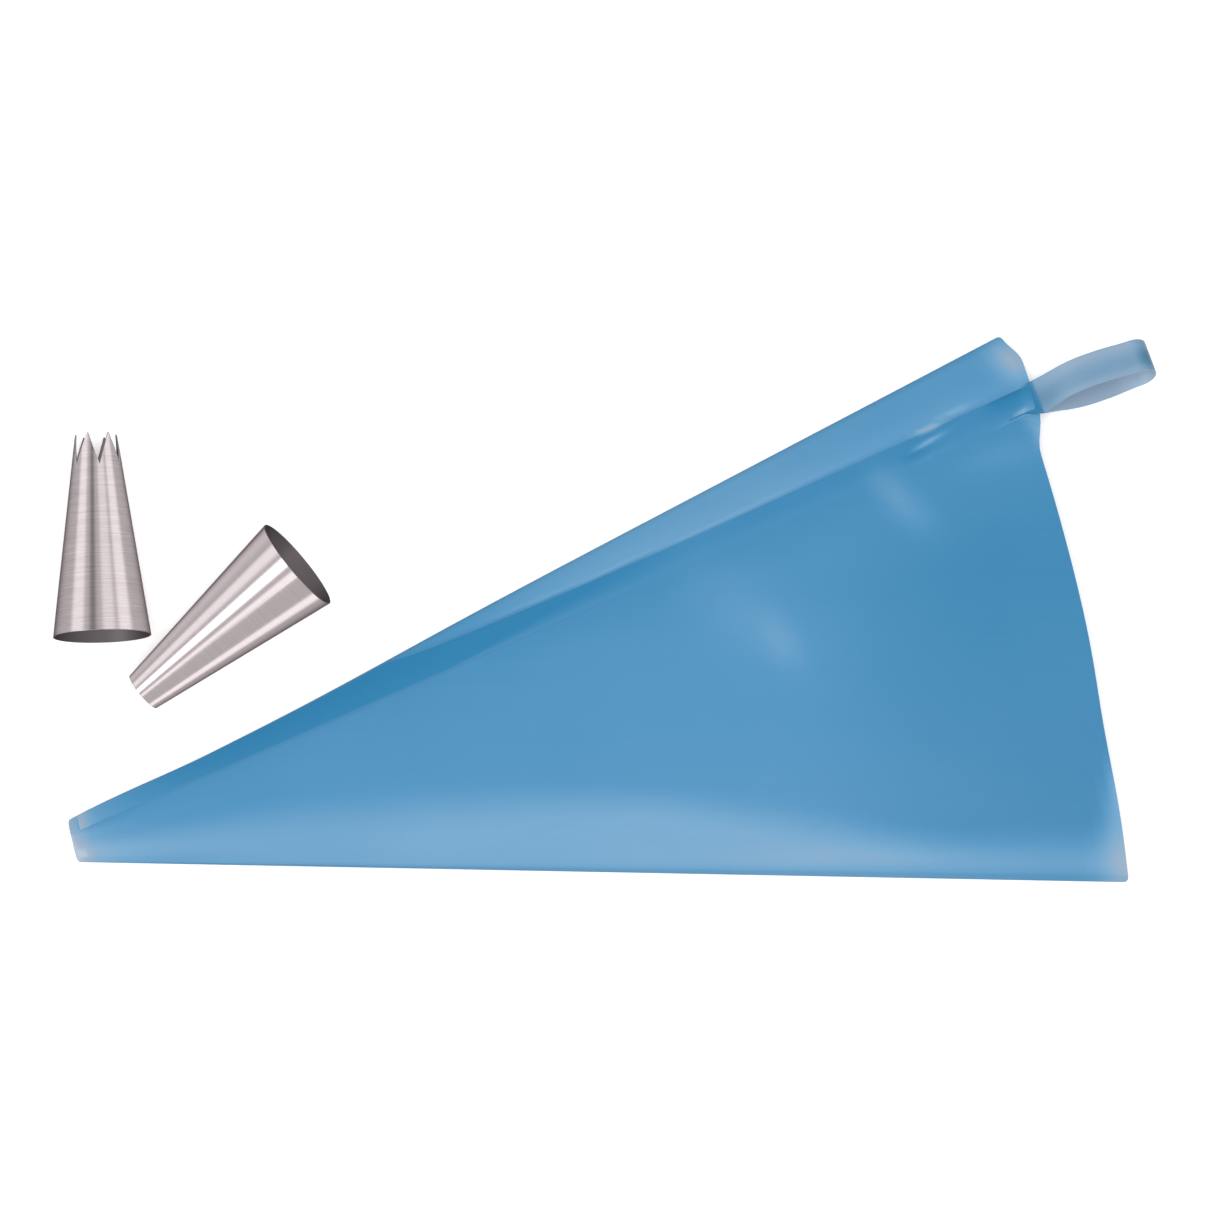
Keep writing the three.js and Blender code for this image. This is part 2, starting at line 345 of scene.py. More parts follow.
ROLLED_LENGTH = 0.3
clear_selection()
bpy.ops.mesh.primitive_cone_add(
    vertices=FILM_AROUND,
    radius1=MOUTH_REACH * math.sin(HALF_ANGLE) * 2 / math.pi * MM,
    radius2=TIP_REACH * math.sin(HALF_ANGLE) * 2 / math.pi * MM,
    depth=ROLLED_LENGTH,
    end_fill_type="NOTHING",
)
film = named_active("bag_film")
edit_select(film, "EDGE", lambda e: abs(e.verts[0].co.z - e.verts[1].co.z) > ROLLED_LENGTH / 2)
bpy.ops.mesh.subdivide(number_cuts=FILM_RINGS - 1)
bpy.ops.object.mode_set(mode="OBJECT")

# How far each point is from the tip, as a share of the way to the mouth.
film_shares = [(ROLLED_LENGTH / 2 - vertex.co.z) / ROLLED_LENGTH for vertex in film.data.vertices]
for vertex, share in zip(film.data.vertices, film_shares):
    vertex.co = pressed_point(share, math.atan2(vertex.co.y, vertex.co.x))
face_upwards(film, len(film.data.vertices))
print("film points:", len(film.data.vertices))


# %% [markdown]
# The film is a little milky, and how milky it looks changes over the bag. Two layers pressed
# together look deep blue. One layer alone, at the mouth and the cut tip, is pale grey. Where the
# layers part and the film curves towards the light, as along the lower fold and in the roll above
# the weld, it turns sky blue: that light is painted into the colour as a sheen, with painted
# glints on the creases and painted shade along the upper fold. The milkiness and the painted
# light are kept together on each point of the mesh, from 0 for the deepest blue to 1 for the
# palest grey, so that the finish can follow it.


# %% How milky the film is, and its painted sheen, glints and shade
UPPER_MILKINESS = 0.22
DEEPER_BEFORE_MOUTH = 0.19
ROLL_PAINTED_SHEEN = 0.25
ONE_LAYER_MILKINESS = 0.6
FILM_MOST_MILKY = 1.1
# Painted glints and sheen on creases and ridges, with some lighter and darker spots: centre along
# and across the bag, turn, length, width, amount of milkiness and painted light.
GLINTS_SHEEN_AND_SPOTS = (
    ((234, 9), math.radians(-68), 9, 5, 0.16),
    ((225, 20), math.radians(-50), 20, 11, 0.11),
    ((232, -53.5), math.radians(-13), 30, 3, 0.1),
    ((274.5, 43), math.radians(-60), 8, 4, 0.22),
    ((280, 35), math.radians(-60), 8, 5.5, 0.12),
    ((289, 58.3), math.radians(12), 3.6, 0.8, 0.8),
    ((287.5, 54.6), math.radians(17), 4.6, 0.6, 0.6),
    ((297, 61.6), math.radians(10), 5, 0.6, 0.35),
    ((283, 52.5), math.radians(15), 4, 1.6, -0.15),
    ((315.5, 56.8), math.radians(12), 1.6, 0.7, 0.8),
    ((319.5, 51), math.radians(-80), 7, 2.2, 0.5),
    ((316.5, 72), math.radians(-50), 6.5, 4.5, 0.7),
    ((307, 46), math.radians(0), 12, 4, 0.1),
)


def painted_fold_sheen(reach, spread):
    """The painted sheen that runs along the lower fold: its height, and how far a point is inside
    it.
    """
    top = mix(-0.3, -0.48, smooth_step(60, 150, reach)) - 0.38 * smooth_step(142, 285, reach)
    softness = mix(0.33, 0.13, smooth_step(80, 200, reach)) - 0.04 * smooth_step(220, 280, reach)
    peak = 0.49 + 0.07 * smooth_step(90, 130, reach) + 0.06 * smooth_step(150, 230, reach)
    peak -= 0.2 * smooth_step(240, 310, reach)
    peak *= 1 - 0.3 * smooth_step(-0.93, -0.985, spread)
    peak *= 1 - 0.2 * smooth_step(90, 50, reach) * smooth_step(-0.7, -0.9, spread)
    return peak, smooth_step(top + softness, top - softness, spread)


def film_milkiness_and_light(share, reach, spread):
    along = reach * math.cos(HALF_ANGLE * spread)
    side = reach * math.sin(HALF_ANGLE * spread)
    # Deeper blue before the mouth, away from the upper fold.
    before_mouth = smooth_step(215, 300, reach) * smooth_step(0.75, 0.2, spread)
    milky_and_lit = UPPER_MILKINESS - DEEPER_BEFORE_MOUTH * before_mouth
    # Painted sheen along the lower fold, weaker right at the fold's edge and near the tip.
    peak, inside = painted_fold_sheen(reach, spread)
    milky_and_lit = mix(milky_and_lit, peak, inside)
    off = side - weld_upper_edge(along)
    # Painted sheen on the roll above the weld, a painted highlight line just above the weld's
    # upper edge, and painted shade along the upper fold.
    roll = ROLL_PAINTED_SHEEN
    roll += 0.17 * smooth_step(140, 200, reach) - 0.1 * smooth_step(230, 300, reach)
    roll += 0.14 * math.exp(-(((off - 0.5) / 0.5) ** 2)) * smooth_step(150, 175, reach)
    roll *= 1 - 0.3 * smooth_step(0.96, 0.99, spread)
    milky_and_lit = mix(milky_and_lit, roll, smooth_step(-0.4, 0.2, off))
    # Painted glints and sheen on creases and ridges, and lighter and darker spots.
    for centre, turn, long, wide, amount in GLINTS_SHEEN_AND_SPOTS:
        milky_and_lit += amount * gentle_bump(along, side, centre, turn, long, wide)
    to_mouth = (1 - share) * (MOUTH_REACH - TIP_REACH)
    glow = mix(2.0, 6.5, smooth_step(-0.6, -0.95, spread))
    at_mouth = math.exp(-((to_mouth / glow) ** 2)) * smooth_step(-0.5, -0.7, spread)
    milky_and_lit += ONE_LAYER_MILKINESS * at_mouth
    past_tip = share * (MOUTH_REACH - TIP_REACH)
    milky_and_lit += 0.25 * math.exp(-past_tip / 9) + 0.5 * math.exp(-((past_tip / 3) ** 2))
    milky_and_lit += 0.28 * math.exp(-past_tip / 12) * smooth_step(0.4, 0.1, spread)
    return min(FILM_MOST_MILKY, max(0.0, milky_and_lit))


def weld_milkiness_and_light(share, reach, spread, v):
    """The weld's own milkiness, with the painted glints, which melts into the film's along its
    lower edge, v = 0.
    """
    past_tip = share * (MOUTH_REACH - TIP_REACH)
    milky_and_lit = 0.6 * math.exp(-past_tip / 18) + 0.45 * math.exp(-((past_tip / 3) ** 2))
    milky_and_lit += 0.13 * math.exp(-(((reach - 226) / 24) ** 2)) + 0.1 * smooth_step(235, 262, reach)
    milky_and_lit -= 0.12 * smooth_step(309, 317, reach)
    along = reach * math.cos(HALF_ANGLE * spread)
    side = reach * math.sin(HALF_ANGLE * spread)
    # Painted glints and sheen on creases and ridges, and lighter and darker spots.
    for centre, turn, long, wide, amount in GLINTS_SHEEN_AND_SPOTS:
        milky_and_lit += amount * gentle_bump(along, side, centre, turn, long, wide)
    soft = smooth_step(0, mix(0.02, 0.9, smooth_step(130, 200, reach)), v)
    return max(0.0, mix(film_milkiness_and_light(share, reach, spread), milky_and_lit, soft))


def keep_milkiness_and_light(piece, milkiness_and_light_of):
    """Stores each point's milkiness and painted light, which the given function returns for
    (index, reach, spread).
    """
    inverse = BAG_PLACE.inverted()
    milkiness_and_painted_light = piece.data.attributes.new("milkiness_and_painted_light", "FLOAT", "POINT")
    for vertex in piece.data.vertices:
        flat = inverse @ (vertex.co / MM)
        reach, spread = polar(flat.x, flat.y)
        milkiness_and_painted_light.data[vertex.index].value = milkiness_and_light_of(vertex.index, reach, spread)


def milkiness_and_light_on_film(index, reach, spread):
    return film_milkiness_and_light(film_shares[index], reach, spread)


keep_milkiness_and_light(film, milkiness_and_light_on_film)
apply_modifier(film, "SOLIDIFY", thickness=FILM_THICKNESS * MM, offset=-1, use_even_offset=True)
clear_selection()
film.select_set(True)
bpy.context.view_layer.objects.active = film
bpy.ops.object.shade_smooth_by_angle(angle=math.radians(50))
print("film faces:", len(film.data.polygons))

# %% [markdown]
# ## The weld
# The film's two edges overlap and are welded by heat, which doubles the film into a darker
# band. Near the tip the band covers the bag's upper half, and from the middle on its
# upper edge is crisp while its lower edge melts into the film. A grid primitive is laid along
# the seam, point by point, a hair above the film.

# %% Weld band
WELD_START = 27.0
WELD_END = 319.6
WELD_THICKNESS = 0.3
UPPER_EDGE_LIFT = 0.34
LOWER_EDGE_LIFT = 0.28
MELTED_EDGE_LIFT = 0.03
SPREAD_LIMIT = 0.975
TAB_LENGTH = 10.0
TAB_LIFT = 0.64


def grid_piece(name, columns, rows):
    """A flat grid, with (u, v) from 0 to 1 for each of its points."""
    clear_selection()
    bpy.ops.mesh.primitive_grid_add(x_subdivisions=columns, y_subdivisions=rows, size=1)
    piece = named_active(name)
    places = [(vertex.co.x + 0.5, vertex.co.y + 0.5) for vertex in piece.data.vertices]
    return piece, places


def weld_point(u, v):
    """u runs from tip to mouth and v from the band's lower edge to its upper one."""
    along = mix(WELD_START, WELD_END, u)
    side = mix(weld_lower_edge(along), weld_upper_edge(along), v)
    reach, spread = polar(along, side)
    spread = min(spread, SPREAD_LIMIT)
    reach = min(reach, mouth_edge(spread, True) + 0.1)
    lower_lift = mix(LOWER_EDGE_LIFT, MELTED_EDGE_LIFT, smooth_step(120, 210, along))
    lift = mix(lower_lift, UPPER_EDGE_LIFT, v)
    over_tab = smooth_step(ROLL_END - TAB_LENGTH - 2.5, ROLL_END - TAB_LENGTH + 0.5, along)
    lift += TAB_LIFT * over_tab * smooth_step(0, 0.12, v) * smooth_step(1, 0.88, v)
    return on_bag(reach, spread, film_height(reach, spread) + lift)


weld, weld_places = grid_piece("seam_weld", 160, 12)
for vertex, (u, v) in zip(weld.data.vertices, weld_places):
    vertex.co = weld_point(u, v)
face_upwards(weld, len(weld.data.vertices))


def milkiness_and_light_on_weld(index, reach, spread):
    u, v = weld_places[index]
    return weld_milkiness_and_light(u, reach, spread, v)


keep_milkiness_and_light(weld, milkiness_and_light_on_weld)
apply_modifier(weld, "SOLIDIFY", thickness=WELD_THICKNESS * MM, offset=-1)
bpy.ops.object.shade_smooth_by_angle(angle=math.radians(50))
print("weld points:", len(weld.data.vertices))

# %% [markdown]
# ## The hanging strap
# A narrow strip of the same film is doubled back into a loop, and both of its ends are caught
# under the weld at the mouth. The loop springs open as a drop and rolls over to one side, so its
# inner face shows along the lower edge. A grid is bent along the drop. Its two ends lie on the
# film one above the other, and the root turns from the film's slope into the loop's own roll.

# %% Strap outline, in millimetres from the root
STRAP_WIDTH = 10.4
TAB_WIDTH = 6.4
STRAP_THICKNESS = 0.3
LOOP_LENGTH = 34.2
LOOP_END_RADIUS = 4.7
LOOP_HALF_HEIGHT = 5.8
LOOP_FULLEST = 0.55
END_STARTS = 0.66
ROOT_HALF_HEIGHT = 0.165
TAB_CENTRE = 0.35
LOOP_RISE = 1.1
LOOP_HEADING = math.radians(5.8)
ROOT_ROLL = math.radians(12)
END_ROLL = math.radians(25)
END_CENTRE = LOOP_LENGTH - LOOP_END_RADIUS
QUARTER_TURN = LOOP_END_RADIUS * math.pi / 2
STRAP_HALF = QUARTER_TURN + END_CENTRE + TAB_LENGTH

hinge = next(joint for joint in frame["joints"] if joint["name"] == "loop_hinge")
root = BAG_PLACE.inverted() @ (Vector(hinge["pos_m"]) / MM)


def weld_middle(along):
    return (weld_lower_edge(along) + weld_upper_edge(along)) / 2


tab_rise = weld_middle(ROLL_END) - weld_middle(ROLL_END - TAB_LENGTH)
TAB_HEADING = math.atan2(tab_rise, TAB_LENGTH)
print(f"strap root at {root.x:.1f}, {root.y:.1f} on the bag")


def drop_outline(distance):
    """Ahead of the root, and away from the loop's middle, at a distance from its free end."""
    if distance < QUARTER_TURN:
        angle = distance / LOOP_END_RADIUS
        ahead = END_CENTRE + LOOP_END_RADIUS * math.cos(angle)
        return ahead, LOOP_END_RADIUS * math.sin(angle)
    ahead = END_CENTRE - (distance - QUARTER_TURN)
    share = max(0.0, ahead / END_CENTRE)
    opening = math.sin(math.pi / 2 * min(1.0, share / LOOP_FULLEST))
    away = mix(ROOT_HALF_HEIGHT, LOOP_HALF_HEIGHT, opening)
    narrowing = (LOOP_HALF_HEIGHT - LOOP_END_RADIUS) * smooth_step(END_STARTS, 1, share)
    return ahead, away - narrowing


def strap_point(u, v):
    """u runs from one end in the weld, out round the loop and back; v is across the strap."""
    side_sign = 1 if u > 0.5 else -1
    ahead, away = drop_outline(abs(2 * u - 1) * STRAP_HALF)
    away *= side_sign
    width = mix(TAB_WIDTH, STRAP_WIDTH, smooth_step(-6, 1, ahead))
    offset = (v - 0.5) * width
    roll = mix(ROOT_ROLL, END_ROLL, smooth_step(-1, 9, ahead))
    across = offset * math.cos(roll) + away * math.sin(roll)
    rolled_up = away * math.cos(roll) - offset * math.sin(roll)
    heading = mix(TAB_HEADING, LOOP_HEADING, smooth_step(-3, 4, ahead))
    line = TAB_HEADING if ahead < 0 else LOOP_HEADING
    along = root.x + ahead * math.cos(line) - across * math.sin(heading)
    side = root.y + ahead * math.sin(line) + across * math.cos(heading)
    reach, spread = polar(along, side)
    on_film = film_height(reach, spread) + TAB_CENTRE + away
    in_air = ROOT_HEIGHT + LOOP_RISE * smooth_step(0, 20, ahead) + rolled_up
    return on_bag(reach, spread, mix(on_film, in_air, smooth_step(-1.5, 2.5, ahead)))


ROOT_HEIGHT = film_height(*polar(root.x, root.y)) + TAB_CENTRE


# %% Bend the strap
strap, strap_places = grid_piece("strap_loop", 260, 14)
for vertex, (u, v) in zip(strap.data.vertices, strap_places):
    vertex.co = strap_point(u, v)
sheet_points = len(strap.data.vertices)
face_upwards(strap, sheet_points)
apply_modifier(strap, "SOLIDIFY", thickness=STRAP_THICKNESS * MM, offset=0)
bpy.ops.object.shade_smooth_by_angle(angle=math.radians(50))


# %% [markdown]
# The strap is milkier than the bag, because only one layer of film stands against the light. It
# is painted palest along its edges and on its inner face, as painted light that also outweighs
# the inner face's shade, and bluest where it bends round the free end, as painted shade. It is
# also bluest where its ends lie in the weld.

# %% How milky the strap is, with its painted light and shade
OUTER_MILKINESS = 0.6
INNER_PAINTED_LIGHT = 0.95
strap_milkiness_and_light = strap.data.attributes.new("milkiness_and_painted_light", "FLOAT", "POINT")
for vertex in strap.data.vertices:
    u, v = strap_places[vertex.index % sheet_points]
    ahead, away = drop_outline(abs(2 * u - 1) * STRAP_HALF)
    if vertex.index < sheet_points:
        milky_and_lit = OUTER_MILKINESS
        # Painted light: the outer face is lighter along both edges.
        milky_and_lit += 0.28 * smooth_step(0.45, 0.9, v) + 0.22 * smooth_step(0.3, 0.0, v)
        # Painted shade where the strap bends round the free end.
        milky_and_lit -= 0.3 * smooth_step(LOOP_LENGTH - 5, LOOP_LENGTH - 1, ahead)
        milky_and_lit *= mix(0.75, 1, smooth_step(0, 10, ahead))
    else:
        # Painted light: the inner face is lighter than its shade would leave it.
        milky_and_lit = INNER_PAINTED_LIGHT + 0.25 * smooth_step(LOOP_LENGTH / 2, LOOP_LENGTH, ahead)
    strap_milkiness_and_light.data[vertex.index].value = milky_and_lit * smooth_step(-0.5, 1.0, ahead)
print("strap points:", len(strap.data.vertices))

# %% [markdown]
# ## The nozzles
# Each nozzle is one cone of thin stainless sheet, drawn without a seam, with plain open rims. The
# star nozzle's narrow end is cut into six pointed teeth. A cone primitive's lengthwise edges are
# subdivided into rings, and the rings of the star's end are drawn up into the teeth, so the cut
# edge stays clean. The sheet then gets its thickness inwards and a fine round on its edges.

# %% Driving dimensions of the nozzles, in millimetres
NOZZLE_LENGTH = 58.0
NOZZLE_WALL = 0.5
TIP_RADIUS = 6.0
STAR_BASE_RADIUS = 14.0
PLAIN_BASE_RADIUS = 14.5
NOZZLE_COLUMNS = 192
NOZZLE_RINGS = 40
TEETH = 6
NOTCH_DEPTH = 9.5
NOTCH_TURN = math.radians(9.1)
TOOTH_FLAT = 0.05
TOOTH_CURVE = 0.85
RING_CROWDING = 0.7
RIM_ROUND = 0.09
STAR_HEADING = math.radians(92.2)
PLAIN_HEADING = math.radians(219.4)


def notch_edge(around):
    """How far up the cone the cut edge stands at this angle."""
    pitch = 2 * math.pi / TEETH
    from_notch = abs((around - NOTCH_TURN + pitch / 2) % pitch - pitch / 2) / (pitch / 2)
    rise = min(1.0, from_notch / (1 - TOOTH_FLAT)) ** TOOTH_CURVE
    return NOZZLE_LENGTH - NOTCH_DEPTH * (1 - rise)


def lay_down(piece, base_radius, heading, node):
    """Lays a cone on its side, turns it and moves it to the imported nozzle's place."""
    slope = math.atan((base_radius - TIP_RADIUS) / NOZZLE_LENGTH)
    tilt = Matrix.Rotation(math.pi / 2 + slope, 4, "Y")
    piece.data.transform(Matrix.Rotation(heading, 4, "Z") @ tilt)
    low = Vector([min(vertex.co[axis] for vertex in piece.data.vertices) for axis in range(3)])
    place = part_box(node)[0]
    piece.data.transform(Matrix.Translation(Vector(place) - low))


def nozzle(name, base_radius, cut_edge):
    """An upright nozzle at the origin, its narrow end cut as cut_edge gives for each angle."""
    clear_selection()
    bpy.ops.mesh.primitive_cone_add(
        vertices=NOZZLE_COLUMNS,
        radius1=base_radius * MM,
        radius2=TIP_RADIUS * MM,
        depth=NOZZLE_LENGTH * MM,
        end_fill_type="NOTHING",
        rotation=(0, 0, NOTCH_TURN),
    )
    piece = named_active(name)
    bpy.ops.object.transform_apply(rotation=True)
    half = NOZZLE_LENGTH / 2 * MM
    edit_select(piece, "EDGE", lambda e: abs(e.verts[0].co.z - e.verts[1].co.z) > half)
    bpy.ops.mesh.subdivide(number_cuts=NOZZLE_RINGS - 1)
    bpy.ops.object.mode_set(mode="OBJECT")
    for vertex in piece.data.vertices:
        around = math.atan2(vertex.co.y, vertex.co.x)
        up = (vertex.co.z + half) / (2 * half)
        height = up**RING_CROWDING * cut_edge(around)
        radius = mix(base_radius, TIP_RADIUS, height / NOZZLE_LENGTH)
        vertex.co = Vector((radius * math.cos(around), radius * math.sin(around), height)) * MM
    sheet_count = len(piece.data.vertices)
    apply_modifier(piece, "SOLIDIFY", thickness=NOZZLE_WALL * MM, offset=-1)
    turned = piece.data.attributes.new("turned", "FLOAT_VECTOR", "POINT")
    for vertex in piece.data.vertices:
        turned.data[vertex.index].vector = vertex.co
    inside = piece.data.attributes.new("inside", "FLOAT", "POINT")
    for vertex in piece.data.vertices:
        inside.data[vertex.index].value = float(vertex.index >= sheet_count)
    apply_modifier(
        piece, "BEVEL", width=RIM_ROUND * MM, segments=2, limit_method="ANGLE",
        angle_limit=math.radians(60),
    )
    bpy.ops.object.shade_smooth_by_angle(angle=math.radians(20))
    return piece


def plain_edge(around):
    return NOZZLE_LENGTH


star = nozzle("star_nozzle_steel", STAR_BASE_RADIUS, notch_edge)
lay_down(star, STAR_BASE_RADIUS, STAR_HEADING, "star_nozzle")
plain = nozzle("plain_nozzle_steel", PLAIN_BASE_RADIUS, plain_edge)
lay_down(plain, PLAIN_BASE_RADIUS, PLAIN_HEADING, "plain_nozzle")
for piece in (star, plain):
    print(piece.name, "faces:", len(piece.data.polygons))

# %% [markdown]
# ## The film's finish
# The bag is blown polyurethane film, about a third of a millimetre thick, coloured through and a
# little milky, with a satin face from the calender rolls. A colour ramp turns the milkiness and
# the painted sheen, glints and shade that were stored on the mesh into colour, from deep blue
# through sky blue to pale grey. A slow mottle over some centimetres and faint lines along the
# bag, from the rolls, keep it from being even, and a fine grain varies how it shines.

# %% Film materials
FILM_COLOURS = (
    (0.0, "#20719B"),
    (0.25, "#3C7FA9"),
    (0.6, "#6091B4"),
    (1.0, "#869AAE"),
    (1.3, "#C3D0DC"),
)
MOST_MILKY = FILM_COLOURS[-1][0]
# Patterns, as repeats in a metre: the mottle is about 40 mm across, the lines left by the rolls
# 2.4 mm apart and 80 mm long, and the grain 2.6 mm, coarser than the real one so that it shows.
MOTTLE = 24.0
ROLL_LINES = (12, 420, 12)
GRAIN = 380.0
ROLL_LINE_SHARE = 0.35


def film_material(name, stops, unevenness):
    """Satin film, coloured from its points' milkiness and painted light over (milkiness, hex
    colour) stops.
    """
    material, tree, shader = new_material(name)
    place = add_node(tree, "ShaderNodeTexCoord")
    milkiness_and_painted_light = add_node(tree, "ShaderNodeAttribute", attribute_name="milkiness_and_painted_light")
    mottle = add_node(
        tree, "ShaderNodeTexNoise",
        links={"Vector": place.outputs["Object"]},
        inputs={"Scale": MOTTLE, "Detail": 4.0, "Roughness": 0.5},
    )
    along_bag = add_node(
        tree, "ShaderNodeMapping",
        links={"Vector": place.outputs["Object"]},
        inputs={"Rotation": (0, 0, -BAG_HEADING), "Scale": ROLL_LINES},
    )
    roll_lines = add_node(
        tree, "ShaderNodeTexNoise",
        links={"Vector": along_bag.outputs["Vector"]},
        inputs={"Scale": 1.0, "Detail": 2.0},
    )
    both = add_node(
        tree, "ShaderNodeMath",
        links={0: roll_lines.outputs["Fac"], 2: mottle.outputs["Fac"]},
        inputs={1: ROLL_LINE_SHARE},
        operation="MULTIPLY_ADD",
    )
    uneven = add_node(
        tree, "ShaderNodeMapRange",
        links={"Value": both.outputs["Value"]},
        inputs={"From Min": 0.4, "From Max": 0.95, "To Min": -unevenness, "To Max": unevenness},
    )
    total = add_node(
        tree, "ShaderNodeMath",
        links={0: milkiness_and_painted_light.outputs["Fac"], 1: uneven.outputs["Result"]},
        operation="ADD",
    )
    share = add_node(
        tree, "ShaderNodeMath",
        links={0: total.outputs["Value"]},
        inputs={1: MOST_MILKY},
        operation="DIVIDE", use_clamp=True,
    )
    colour = add_node(tree, "ShaderNodeValToRGB", links={"Fac": share.outputs["Value"]})
    elements = colour.color_ramp.elements
    elements.remove(elements[1])
    for index, (milky_and_lit, hex_colour) in enumerate(stops):
        element = elements[0] if index == 0 else elements.new(milky_and_lit / MOST_MILKY)
        element.position = milky_and_lit / MOST_MILKY
        element.color = linear(hex_colour)
    tree.links.new(colour.outputs["Color"], shader.inputs["Base Color"])
    grain = add_node(
        tree, "ShaderNodeTexNoise",
        links={"Vector": place.outputs["Object"]},
        inputs={"Scale": GRAIN, "Detail": 2.0},
    )
    rough = add_node(
        tree, "ShaderNodeMapRange",
        links={"Value": grain.outputs["Fac"]},
        inputs={"To Min": 0.33, "To Max": 0.43},
    )
    tree.links.new(rough.outputs["Result"], shader.inputs["Roughness"])
    bump = add_node(
        tree, "ShaderNodeBump",
        links={"Height": grain.outputs["Fac"]},
        inputs={"Strength": 0.08, "Distance": 0.0002},
    )
    tree.links.new(bump.outputs["Normal"], shader.inputs["Normal"])
    shader.inputs["IOR"].default_value = 1.5
    return material


weld_colours = ((0.0, "#16709D"),) + FILM_COLOURS[1:]
strap_colours = (
    (0.0, "#20719B"),
    (0.3, "#407393"),
    (0.6, "#6B8FAC"),
    (1.0, "#8CA1B6"),
    (1.3, "#A6BDD2"),
)
bag_finish = film_material("polyurethane film, calendered satin", FILM_COLOURS, 0.03)
weld_finish = film_material("polyurethane film, heat welded", weld_colours, 0.02)
strap_finish = film_material("polyurethane film, single strap", strap_colours, 0.04)
for piece, finish in ((film, bag_finish), (weld, weld_finish), (strap, strap_finish)):
    piece.data.materials.append(finish)
    print(piece.name, "is", finish.name)

# %% [markdown]
# ## The steel's finish
# The nozzles are stainless steel sheet. The star nozzle was turned against an abrasive belt, so
# fine lines run round it. The plain nozzle was polished afterwards and shows only a trace of
# them. The inside of each cone is left as drawn and dull, and its colour is darkened as painted
# shade.


# %% Steel materials
# Brushed lines, as repeats in a metre: 12 mm long round the cone and 0.45 mm apart along it,
# coarser than a real belt's grit so that they show.
BRUSHED_LINES = (80, 80, 2200)
ROUGHNESS_VARIES = 0.02
INSIDE_ROUGH = 0.5


def steel_material(name, outer_rough, line_strength, line_contrast):
    """Stainless steel with brushed lines outside and a dull, drawn face inside, darkened as
    painted shade.
    """
    material, tree, shader = new_material(name)
    turned = add_node(tree, "ShaderNodeAttribute", attribute_name="turned")
    inside = add_node(tree, "ShaderNodeAttribute", attribute_name="inside")
    stretched = add_node(
        tree, "ShaderNodeVectorMath",
        links={0: turned.outputs["Vector"]},
        inputs={1: BRUSHED_LINES},
        operation="MULTIPLY",
    )
    lines = add_node(
        tree, "ShaderNodeTexNoise",
        links={"Vector": stretched.outputs["Vector"]},
        inputs={"Scale": 1.0, "Detail": 5.0, "Roughness": 0.65},
    )
    rough = add_node(
        tree, "ShaderNodeMapRange",
        links={"Value": lines.outputs["Fac"]},
        inputs={
            "From Min": 0.3, "From Max": 0.7,
            "To Min": outer_rough - ROUGHNESS_VARIES, "To Max": outer_rough + ROUGHNESS_VARIES,
        },
    )
    roughness = add_node(
        tree, "ShaderNodeMix",
        links={0: inside.outputs["Fac"], 2: rough.outputs["Result"]},
        inputs={3: INSIDE_ROUGH},
    )
    tree.links.new(roughness.outputs[0], shader.inputs["Roughness"])
    line_shade = add_node(
        tree, "ShaderNodeMapRange",
        links={"Value": lines.outputs["Fac"]},
        inputs={
            "From Min": 0.3, "From Max": 0.7,
            "To Min": 0.5 - line_contrast, "To Max": 0.5 + line_contrast,
        },
    )
    shade = add_node(
        tree, "ShaderNodeMix",
        links={0: line_shade.outputs["Result"]},
        inputs={6: linear("#AFA2A5"), 7: linear("#ECE3E5")},
        data_type="RGBA",
    )
    # The inside faces get a darker colour: painted shade inside the cone.
    colour = add_node(
        tree, "ShaderNodeMix",
        links={0: inside.outputs["Fac"], 6: shade.outputs[2]},
        inputs={7: linear("#716A6C")},
        data_type="RGBA",
    )
    tree.links.new(colour.outputs[2], shader.inputs["Base Color"])
    bump = add_node(
        tree, "ShaderNodeBump",
        links={"Height": lines.outputs["Fac"]},
        inputs={"Strength": line_strength, "Distance": 0.0001},
    )
    tree.links.new(bump.outputs["Normal"], shader.inputs["Normal"])
    shader.inputs["Metallic"].default_value = 1.0
    shader.inputs["Specular Tint"].default_value = linear("#8E8688")
    return material


brushed_steel = steel_material("stainless steel, turned and brushed", 0.19, 0.08, 0.17)
polished_steel = steel_material("stainless steel, polished", 0.14, 0.01, 0.05)
for piece, finish in ((star, brushed_steel), (plain, polished_steel)):
    piece.data.materials.append(finish)
    print(piece.name, "is", finish.name)

# %% [markdown]
# ## The table and the light
# A plain white light table, which glows a little itself, so that shadows stay faint. One large
# softbox hangs above the lower edge of the bag, and its glow spreads along the film's lower fold,
# over the sheen painted there. A larger one fills in from straight above, hidden from
# reflections.
# The rest is even light from all round.

# %% Table and lights
TABLE_SIZE = 6.0
TABLE_TOP = -0.2 * MM
TABLE_GLOW = 0.3
clear_selection()
bpy.ops.mesh.primitive_plane_add(size=TABLE_SIZE, location=(0, 0, TABLE_TOP))
table_top = named_active("table")
bpy.ops.object.transform_apply(location=True)
table_finish, _, table_shader = new_material("white acrylic light table")
table_shader.inputs["Base Color"].default_value = linear("#F2F1F0")
table_shader.inputs["Roughness"].default_value = 0.6
table_shader.inputs["Emission Color"].default_value = linear("#FFFFFF")
table_shader.inputs["Emission Strength"].default_value = TABLE_GLOW
table_top.data.materials.append(table_finish)
table_top.visible_glossy = False


